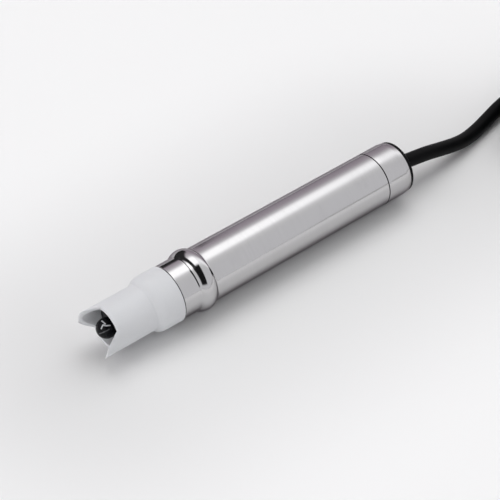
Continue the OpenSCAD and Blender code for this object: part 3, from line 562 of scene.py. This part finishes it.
def buildTurnedTree():
    tree = bpy.data.node_groups.new("turnedPiece", "GeometryNodeTree")
    for label, kind, value in (
            ("Outline", "Geometry", None), ("Sides", "Int", 128), ("Axis Y", "Float", 0.0),
            ("Axis Z", "Float", 0.0), ("Thread Pitch", "Float", 0.001), ("Thread Depth", "Float", 0.0),
            ("Rib Count", "Int", 24), ("Rib Depth", "Float", 0.0), ("Material", "Material", None)):
        socket = tree.interface.new_socket(label, in_out="INPUT", socket_type="NodeSocket" + kind)
        if value is not None:
            socket.default_value = value
    tree.interface.new_socket("Mesh", in_out="OUTPUT", socket_type="NodeSocketGeometry")
    given = addNode(tree, "NodeGroupInput").outputs

    def calc(operation, *values):
        return mathNode(tree, operation, *values)

    size = addNode(tree, "GeometryNodeAttributeDomainSize", inputs={0: given["Outline"]})
    columns = calc("ADD", given["Sides"], 1.0)
    grid = addNode(tree, "GeometryNodeMeshGrid", inputs={
        "Vertices X": size.outputs["Point Count"], "Vertices Y": columns})
    index = addNode(tree, "GeometryNodeInputIndex").outputs[0]
    row = calc("FLOOR", calc("DIVIDE", calc("ADD", index, 0.5), columns))
    column = calc("SUBTRACT", index, calc("MULTIPLY", row, columns))
    turn = calc("DIVIDE", column, given["Sides"])  # 0 to 1 round the axis

    def sampled(kind, value):  # a value of the outline's point in this row
        return addNode(tree, "GeometryNodeSampleIndex", {"data_type": kind, "domain": "POINT"}, {
            "Geometry": given["Outline"], "Value": value, "Index": row}).outputs["Value"]

    def share(name):
        return sampled("FLOAT", addNode(tree, "GeometryNodeInputNamedAttribute", {"data_type": "FLOAT"}, {
            "Name": name}).outputs["Attribute"])

    spot = splitNode(tree, sampled("FLOAT_VECTOR", addNode(tree, "GeometryNodeInputPosition").outputs[0]))
    wave = calc("SUBTRACT", calc("DIVIDE", spot["X"], given["Thread Pitch"]), turn)
    tooth = calc("MULTIPLY", calc("PINGPONG", wave, 0.5), given["Thread Depth"])
    threadCut = calc("MULTIPLY", calc("MULTIPLY", tooth, 2.0), share("threadShare"))
    rib = softStep(tree, calc("PINGPONG", calc("MULTIPLY", turn, given["Rib Count"]), 0.5), 0.12, 0.38)
    ribCut = calc("MULTIPLY", calc("MULTIPLY", rib, given["Rib Depth"]), share("ribShare"))
    radius = calc("SUBTRACT", calc("SUBTRACT", spot["Y"], threadCut), ribCut)
    angle = calc("MULTIPLY", turn, 2 * math.pi)
    place = addNode(tree, "ShaderNodeCombineXYZ", inputs={
        "X": spot["X"],
        "Y": calc("SUBTRACT", given["Axis Y"], calc("MULTIPLY", radius, calc("SINE", angle))),
        "Z": calc("ADD", given["Axis Z"], calc("MULTIPLY", radius, calc("COSINE", angle)))})
    moved = addNode(tree, "GeometryNodeSetPosition", inputs={
        "Geometry": grid.outputs["Mesh"], "Position": place.outputs[0]})
    merged = addNode(tree, "GeometryNodeMergeByDistance", inputs={
        "Geometry": moved.outputs[0], "Distance": 0.0000005})
    real = addNode(tree, "GeometryNodeRealizeInstances", inputs={0: merged.outputs[0]})
    coated = addNode(tree, "GeometryNodeSetMaterial", inputs={
        "Geometry": real.outputs[0], "Material": given["Material"]})
    addNode(tree, "NodeGroupOutput", inputs={"Mesh": coated.outputs[0]})
    return tree


turnedTree = buildTurnedTree()
turnedSockets = {item.name: item.identifier for item in turnedTree.interface.items_tree
                 if item.item_type == "SOCKET" and item.in_out == "INPUT"}


def arcPoints(centre, radius, fromAngle, toAngle, steps):  # centre and points are (radius, place)
    turns = [math.radians(fromAngle + (toAngle - fromAngle) * i / steps) for i in range(steps + 1)]
    return [(centre[0] + radius * math.cos(a), centre[1] + radius * math.sin(a)) for a in turns]


def rounded(points, closed=True, steps=3):  # (radius, place[, round]) corners made into small arcs
    out = []
    count = len(points)
    for i, corner in enumerate(points):
        size = corner[2] if len(corner) > 2 else 0.0
        here = Vector((corner[0], corner[1]))
        if size <= 0 or (not closed and i in (0, count - 1)):
            out.append((here.x, here.y))
            continue
        before = Vector(points[(i - 1) % count][:2]) - here
        after = Vector(points[(i + 1) % count][:2]) - here
        reach = min(size, before.length * 0.49, after.length * 0.49)
        a, b = here + before.normalized() * reach, here + after.normalized() * reach
        for k in range(steps + 1):
            u = k / steps
            out.append(tuple(a * (1 - u) ** 2 + here * 2 * u * (1 - u) + b * u ** 2))
    return out


def divided(points, longest):  # long straight lines are cut so that no quad is a sliver
    out = [points[0]]
    for a, b in zip(points, points[1:]):
        parts = max(1, math.ceil(math.dist(a, b) / longest))
        out += [(a[0] + (b[0] - a[0]) * k / parts, a[1] + (b[1] - a[1]) * k / parts)
                for k in range(1, parts + 1)]
    return out


def finishMesh(name, mesh, body, slotName, replaced, sharpAngle=35.0):
    shell = bmesh.new()
    shell.from_mesh(mesh)
    bmesh.ops.recalc_face_normals(shell, faces=shell.faces)
    shell.to_mesh(mesh)
    shell.free()
    mesh.shade_smooth()
    mesh.set_sharp_from_angle(angle=math.radians(sharpAngle))
    piece = bpy.data.objects.new(name, mesh)
    bpy.context.scene.collection.objects.link(piece)
    if not mesh.materials:
        mesh.materials.append(finishes[slotName])
    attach(piece, body)
    if replaced:
        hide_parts(*replaced)
    return piece


def turnedMesh(name, outline, slotName, startX=barrel["seamX"], axis=(0.0, barrel["axisHeight"]),
               sides=barrel["sides"], closed=True, thread=None, ribs=None, longest=4.0):
    line = divided(outline + [outline[0]] if closed else outline, longest)
    base = bpy.data.meshes.new(name + "Outline")
    base.from_pydata([(mm(startX + place), mm(radius), 0.0) for radius, place in line],
                     [(i, i + 1) for i in range(len(line) - 1)], [])
    for label, part in (("threadShare", thread), ("ribShare", ribs)):
        share = base.attributes.new(label, "FLOAT", "POINT")
        for i, (radius, place) in enumerate(line):
            on = part is not None and part["from"] <= place <= part["to"] and radius >= part["above"]
            edge = min(place - part["from"], part["to"] - place) / part["fade"] if on else 0.0
            share.data[i].value = min(1.0, edge)
    holder = bpy.data.objects.new(name + "Base", base)
    bpy.context.scene.collection.objects.link(holder)
    sweep = holder.modifiers.new("turn", "NODES")
    sweep.node_group = turnedTree
    values = {"Sides": sides, "Axis Y": mm(axis[0]), "Axis Z": mm(axis[1]), "Material": finishes[slotName]}
    if thread:
        values.update({"Thread Pitch": mm(thread["pitch"]), "Thread Depth": mm(thread["depth"])})
    if ribs:
        values.update({"Rib Count": ribs["count"], "Rib Depth": mm(ribs["depth"])})
    for label, value in values.items():
        sweep[turnedSockets[label]] = value
    graph = bpy.context.evaluated_depsgraph_get()
    mesh = bpy.data.meshes.new_from_object(holder.evaluated_get(graph), depsgraph=graph)
    mesh.name = name
    holder.modifiers.remove(sweep)
    bpy.data.objects.remove(holder)
    return mesh


def addTurned(name, outline, body, slotName, replaced, sharpAngle=35.0, **how):
    finishMesh(name, turnedMesh(name, outline, slotName, **how), body, slotName, replaced, sharpAngle)


bead = {"land": 13.85, "outer": 15.7, "at": 14.0, "crown": 6.7, "fillet": 1.5, "edge": 0.12, "soft": 0.05}


def beadLine(front, rear, inset, crownSteps=26, filletSteps=8):
    def reach(base):
        rise = base + bead["fillet"] - bead["outer"] + bead["crown"]
        run = math.sqrt((bead["crown"] + bead["fillet"]) ** 2 - rise ** 2)
        return run, math.degrees(math.atan2(run, rise))
    frontRun, frontTurn = reach(front)
    rearRun, rearTurn = reach(rear)
    return (arcPoints((front + bead["fillet"], bead["at"] - frontRun), bead["fillet"] + inset,
                      180, 180 - frontTurn, filletSteps)
            + arcPoints((bead["outer"] - bead["crown"], bead["at"]), bead["crown"] - inset,
                        -frontTurn, rearTurn, crownSteps)
            + arcPoints((rear + bead["fillet"], bead["at"] + rearRun), bead["fillet"] + inset,
                        180 + rearTurn, 180, filletSteps))


def buildBarrel():
    r, bore = barrel["radius"], barrel["radius"] - barrel["wall"]
    end = barrel["length"] - barrel["seam"] / 2
    land, edge, soft = bead["land"], bead["edge"], bead["soft"]
    outline = (rounded([(bore, 0), (land - edge, 0, soft), (land, edge, soft)], closed=False)
               + [(land, edge + 0.2)] + beadLine(land, r, 0)
               + rounded([(r, end - 1), (r, end - edge, soft), (r - edge, end, soft), (bore, end)],
                         closed=False)
               + list(reversed(beadLine(r, r, barrel["wall"], 14, 5))))
    addTurned("barrelTube", outline, "sensor", "stainless", ["body_tube"])


collar = {"spigotFrom": 115.6, "spigot": 12.45, "bore": 9.7, "groove": 10.7, "grooveFrom": 118.6,
          "grooveWidth": 2.4, "taper": 2.6, "endRadius": 13.65, "seat": 10.0, "seatDepth": 11.6}


def buildCollar():
    c, r, edge = collar, barrel["radius"], bead["edge"]
    front, rear = barrel["length"] + barrel["seam"] / 2, barrel["rearAt"]
    outline = rounded([
        (c["bore"], c["spigotFrom"]), (c["spigot"], c["spigotFrom"], 0.25), (c["spigot"], c["grooveFrom"]),
        (c["groove"], c["grooveFrom"]), (c["groove"], c["grooveFrom"] + c["grooveWidth"]),
        (c["spigot"], c["grooveFrom"] + c["grooveWidth"]), (c["spigot"], front), (r - edge, front, 0.05),
        (r, front + edge, 0.05), (r, rear - c["taper"], 0.3), (c["endRadius"], rear, 0.15),
        (c["seat"], rear, 0.1), (c["seat"], rear - c["seatDepth"]), (c["bore"], rear - c["seatDepth"])])
    addTurned("rearCollar", outline, "sensor", "collar_steel", ["rear_collar"])


cap = {"radius": 13.5, "round": 0.7, "spigot": 9.95, "spigotLength": 10.8, "cableBore": 3.8,
       "headBore": 6.55, "headDepth": 4.0}


def buildCap():
    c = cap
    rear, end = barrel["rearAt"], barrel["endAt"]
    outline = rounded([
        (c["cableBore"], rear - c["spigotLength"]), (c["spigot"], rear - c["spigotLength"], 0.25),
        (c["spigot"], rear), (c["radius"], rear, 0.15)])
    outline += arcPoints((c["radius"] - c["round"], end - c["round"]), c["round"], 0, 90, 8)
    outline += rounded([(c["radius"] - 2, end), (c["headBore"], end, 0.12),
                        (c["headBore"], end - c["headDepth"]), (c["cableBore"], end - c["headDepth"])],
                       closed=False)
    addTurned("endCap", outline, "sensor", "cap_plastic", ["end_cap"])


# ---- guard: a turned cap cut across by two flared slots, every edge softened ----
guard = {"base": 14.05, "baseTo": -9.6, "shoulder": 6.5, "fillet": 1.0, "nose": 11.75, "bore": 10.0,
         "tip": -42.4, "rear": -0.45, "threadRadius": 11.2, "threadTo": -13.4, "slotDepth": 7.0,
         "floorHalf": 6.6, "mouthHalf": 10.6, "slotTurn": 21.0, "lip": 0.22, "soft": 0.35, "turns": 480}


def softRamp(value, soft):  # the larger of value and 0, with a rounded foot
    if value <= -soft:
        return 0.0
    if value >= soft:
        return value
    return (value + soft) ** 2 / (4 * soft)


def slotCut(angle, radius):  # how far back from the tips the slot reaches
    g = guard
    across = abs(radius * math.sin(math.radians(angle - g["slotTurn"])))
    slope = g["slotDepth"] / (g["mouthHalf"] - g["floorHalf"])
    rise = softRamp((g["mouthHalf"] - across) * slope, g["soft"] * slope)
    return g["slotDepth"] - softRamp(g["slotDepth"] - rise, g["soft"] * slope)


def buildGuard():
    g = guard
    rise = g["nose"] + g["fillet"] - g["base"] + g["shoulder"]
    run = math.sqrt((g["shoulder"] + g["fillet"]) ** 2 - rise ** 2)
    turn = math.degrees(math.atan2(run, rise))
    outer = rounded([(g["threadRadius"], g["rear"]), (g["base"] - 0.15, g["rear"], 0.07),
                     (g["base"], g["rear"] - 0.15, 0.07), (g["base"], -2.0)], closed=False)
    outer += [(g["base"], -2.0 + (g["baseTo"] + 2.0) * k / 5) for k in range(1, 5)]
    outer += arcPoints((g["base"] - g["shoulder"], g["baseTo"]), g["shoulder"], 0, -turn, 16)
    outer += arcPoints((g["nose"] + g["fillet"], g["baseTo"] - run), g["fillet"], 180 - turn, 180, 6)[1:]
    lip = g["lip"]
    lipOuter = [(g["nose"] - lip * (1 - math.cos(a)), lip * (1 - math.sin(a)))
                for a in (0, 0.4, 0.8, 1.2, math.pi / 2)]
    lipInner = [(g["bore"] + lip * (1 - math.sin(a)), lip * (1 - math.cos(a)))
                for a in (0, 0.4, 0.8, 1.2, math.pi / 2)]
    mid = (lipOuter[-1][0] + lipInner[0][0]) / 2
    noseFrom = outer[-1][1]
    bore = [(g["bore"], g["threadTo"]), (g["threadRadius"], g["threadTo"]), (g["threadRadius"], -7.0)]
    verts, rows = [], []
    for t in range(g["turns"]):
        angle = 360.0 * t / g["turns"]
        ring = list(outer)
        front = g["tip"] + slotCut(angle, g["nose"])
        for k in range(1, 9):
            share = k / 9
            ring.append((g["nose"], noseFrom + (front + lip - noseFrom) * share))
        for radius, back in lipOuter + [(mid, 0.0)] + lipInner:
            ring.append((radius, g["tip"] + slotCut(angle, radius) + back))
        front = g["tip"] + slotCut(angle, g["bore"]) + lip
        for k in range(1, 7):
            ring.append((g["bore"], front + (g["threadTo"] - front) * k / 7))
        ring += bore
        verts += [onAxis(place, radius, angle) for radius, place in ring]
        rows.append(len(ring))
    width = rows[0]
    faces = []
    for t in range(g["turns"]):
        following = (t + 1) % g["turns"]
        for k in range(width):
            after = (k + 1) % width
            faces.append((t * width + k, t * width + after, following * width + after,
                          following * width + k))
    mesh = bpy.data.meshes.new("slottedGuard")
    mesh.from_pydata([tuple(v) for v in verts], [], faces)
    finishMesh("slottedGuard", mesh, "guard_cap", "guard_plastic", ["guard"], 40.0)


def buildSeal():
    inner, outer, front = guard["threadRadius"], bead["land"] - 0.1, guard["rear"]
    outline = rounded([(inner, front), (outer, front, 0.08), (outer, 0.0, 0.08), (inner, 0.0)])
    addTurned("frontSeal", outline, "seal_ring", "rubber", ["guard_seal"])


# ---- holder: the CAD form with the thread for the guard cut into it ----
holderThread = {"pitch": 1.5, "depth": 0.65, "crest": 11.14, "outside": 13.0, "from": -13.05, "to": -1.05,
                "fade": 0.7, "sides": 180, "step": 0.12}


def buildHolder():
    h = holderThread
    ring = [(h["outside"], h["from"]), (h["crest"], h["from"]), (h["crest"], h["to"]),
            (h["outside"], h["to"])]
    cutter = bpy.data.objects.new("threadCutter", turnedMesh(
        "threadCutter", ring, "holder_plastic", sides=h["sides"], thread=dict(h, above=0.0),
        longest=h["step"]))
    whole = bmesh.new()  # the CAD mesh with its split corners joined
    whole.from_mesh(frame["nodes"]["sensor_holder"].data)
    bmesh.ops.remove_doubles(whole, verts=whole.verts, dist=0.000001)
    joined = bpy.data.meshes.new("holderBlank")
    whole.to_mesh(joined)
    whole.free()
    blank = bpy.data.objects.new("holderBlank", joined)
    for made in (cutter, blank):
        bpy.context.scene.collection.objects.link(made)
    cut = blank.modifiers.new("thread", "BOOLEAN")
    cut.operation, cut.solver, cut.object = "DIFFERENCE", "MANIFOLD", cutter
    graph = bpy.context.evaluated_depsgraph_get()
    mesh = bpy.data.meshes.new_from_object(blank.evaluated_get(graph), depsgraph=graph)
    mesh.name = "threadedHolder"
    mesh.materials.clear()
    mesh.polygons.foreach_set("material_index", [0] * len(mesh.polygons))
    blank.modifiers.remove(cut)
    bpy.data.objects.remove(blank)
    bpy.data.objects.remove(cutter)
    finishMesh("threadedHolder", mesh, "sensor", "holder_plastic", ["sensor_holder"])


def buildGlass():
    g = glass
    joinAngle = math.degrees(math.acos(g["stem"] / g["bulb"]))
    outer = arcPoints((0.0, g["bulbAt"]), g["bulb"], -90, joinAngle - 9, 30)
    outer[0] = (0.0, outer[0][1])
    lastR, lastS = outer[-1]
    neck = g["bulbAt"] + g["bulb"] * math.sin(math.radians(joinAngle)) + g["blend"]
    for k in range(1, 7):
        u = k / 7
        outer.append((lastR * (1 - u) ** 2 + g["stem"] * (2 * u * (1 - u) + u ** 2),
                      lastS * (1 - u) ** 2 + (lastS + 0.9) * 2 * u * (1 - u) + neck * u ** 2))
    outer += [(g["stem"], neck), (g["stem"], g["stemEnd"]), (g["stem"] - g["wall"], g["stemEnd"])]
    inner = arcPoints((0.0, g["bulbAt"]), g["bulb"] - g["bulbWall"], 44, -90, 18)
    inner[-1] = (0.0, inner[-1][1])
    addTurned("glassBulb", outer + inner, "sensor", "bulb_glass", ["glass_electrode"], 60.0,
              sides=g["sides"], closed=False)


# ---- plug ----
plug = {"x": 228.0, "y": 4.5, "z": 46.6, "grip": 7.6, "gripFrom": 14.0, "gripEnd": 34.0, "root": 6.0,
        "relief": 4.8, "grooves": 4, "grooveFrom": 2.4, "groovePitch": 2.7, "grooveDepth": 0.75,
        "grooveWidth": 0.9, "flank": 0.3, "nutFrom": 34.3, "nutRadius": 7.2, "knurlEnd": 40.7,
        "threadEnd": 46.7, "threadRadius": 6.0, "nutBore": 5.03, "nutStep": 37.5, "flangeBore": 5.38,
        "seatFrom": 24.0, "seatBore": 5.0,
        "ribs": {"from": 16.2, "to": 31.8, "above": 7.0, "fade": 0.8, "count": 16, "depth": 0.5},
        "knurl": {"from": 34.7, "to": 40.3, "above": 6.9, "fade": 0.4, "count": 30, "depth": 0.35},
        "thread": {"from": 41.5, "to": 46.7, "above": 5.8, "fade": 0.5, "pitch": 1.0, "depth": 0.5}}


def buildPlug():
    p = plug
    at = {"startX": p["x"], "axis": (p["y"], p["z"])}
    relief = [(0.0, 0.0), (p["relief"] - 0.3, 0.0), (p["relief"], 0.3)]
    for k in range(p["grooves"]):  # flexing grooves of the relief
        front = p["grooveFrom"] + p["groovePitch"] * k
        rear = front + p["grooveWidth"]
        r = p["relief"] + (p["root"] - p["relief"]) * front / p["gripFrom"]
        relief += [(r, front - p["flank"]), (r - p["grooveDepth"], front), (r - p["grooveDepth"], rear),
                   (r + 0.06, rear + p["flank"])]
    body = rounded([(p["root"], p["gripFrom"], 0.3), (p["grip"] - 0.4, p["gripFrom"], 0.5),
                    (p["grip"], p["gripFrom"] + 0.9, 0.5), (p["grip"], p["gripEnd"] - 0.8, 0.5),
                    (p["grip"] - 0.8, p["gripEnd"], 0.3), (p["seatBore"], p["gripEnd"]),
                    (p["seatBore"], p["seatFrom"]), (0.0, p["seatFrom"])], closed=False)
    addTurned("plugGrip", relief + body, "sensor", "plug_plastic", ["plug_body"], 50.0, sides=192,
              closed=False, ribs=p["ribs"], longest=0.8, **at)
    nut = rounded([
        (p["nutBore"], p["nutFrom"]), (p["nutRadius"] - 0.5, p["nutFrom"], 0.15),
        (p["nutRadius"], p["nutFrom"] + 0.5, 0.15), (p["nutRadius"], p["knurlEnd"] - 0.5, 0.15),
        (p["nutRadius"] - 0.5, p["knurlEnd"], 0.15), (p["threadRadius"] - 0.5, p["knurlEnd"]),
        (p["threadRadius"] - 0.5, p["knurlEnd"] + 0.5), (p["threadRadius"], p["knurlEnd"] + 0.9),
        (p["threadRadius"], p["threadEnd"] - 0.4), (p["threadRadius"] - 0.4, p["threadEnd"]),
        (p["flangeBore"], p["threadEnd"]), (p["flangeBore"], p["nutStep"]), (p["nutBore"], p["nutStep"])])
    addTurned("knurledNut", nut, "coupling_nut", "nickel", ["plug_nut"], 50.0, sides=240,
              thread=p["thread"], ribs=p["knurl"], longest=0.125, **at)


# ---- ties round the hank: a closed band whose free end lies over it and stops half way down ----
tie = {"width": 10.0, "thick": 1.2, "soft": 0.25, "gap": 0.25, "bottom": 1.5, "top": 39.0, "round": 4.2,
       "arcSteps": 8, "flap": {"inset": 0.3, "thick": 0.85, "sunk": 0.03, "overTop": 5.0, "endHeight": 21.0},
       "side": {"x": 246.0, "near": -63.0, "far": -48.0}, "front": {"x": 216.0, "near": -6.75, "far": 15.75}}


def addBand(verts, faces, path, section, x, closed):
    first, width, count = len(verts), len(section), len(path)
    for cy, cz, ny, nz in path:
        for across, out in section:
            r = tie["round"] + out
            verts.append((mm(x + across), mm(cy + ny * r), mm(cz + nz * r)))
    for i in range(count if closed else count - 1):
        here, there = first + i * width, first + (i + 1) % count * width
        for k in range(width):
            m = (k + 1) % width
            faces.append((here + k, here + m, there + m, there + k))
    if not closed:
        faces.append(tuple(range(first, first + width)))
        faces.append(tuple(range(first + (count - 1) * width, first + count * width)))


def bandSection(half, low, high, soft):
    return [(-half, low), (-half, high - soft), (-half + soft, high), (half - soft, high),
            (half, high - soft), (half, low)]


def buildTie(name, place, replaced):
    t, flap = tie, tie["flap"]
    y0, y1 = place["near"] - t["gap"] + t["round"], place["far"] + t["gap"] - t["round"]
    z0, z1 = t["bottom"] - t["gap"] + t["round"], t["top"] + t["gap"] - t["round"]
    corners = []
    for cy, cz, startAngle in ((y1, z0, -90), (y1, z1, 0), (y0, z1, 90), (y0, z0, 180)):
        turns = [math.radians(startAngle + 90 * k / t["arcSteps"]) for k in range(t["arcSteps"] + 1)]
        corners.append([(cy, cz, math.cos(a), math.sin(a)) for a in turns])
    verts, faces = [], []
    half = t["width"] / 2
    addBand(verts, faces, sum(corners, []), bandSection(half, 0.0, t["thick"], t["soft"]), place["x"], True)
    path = [(y0 + flap["overTop"], z1, 0.0, 1.0)] + corners[2] + [(y0, flap["endHeight"], -1.0, 0.0)]
    section = bandSection(half - flap["inset"], t["thick"] - flap["sunk"], t["thick"] + flap["thick"],
                          t["soft"])
    addBand(verts, faces, path, section, place["x"], False)
    mesh = bpy.data.meshes.new(name)
    mesh.from_pydata(verts, [], faces)
    return finishMesh(name, mesh, "sensor", "tie_band", replaced)


buildBarrel()
buildCollar()
buildCap()
buildGuard()
buildSeal()
buildHolder()
buildGlass()
buildPlug()
sideTie = buildTie("sideTie", tie["side"], ["hank_tie_side"])
frontTie = buildTie("frontTie", tie["front"], ["hank_tie_front"])
print("pieces made")
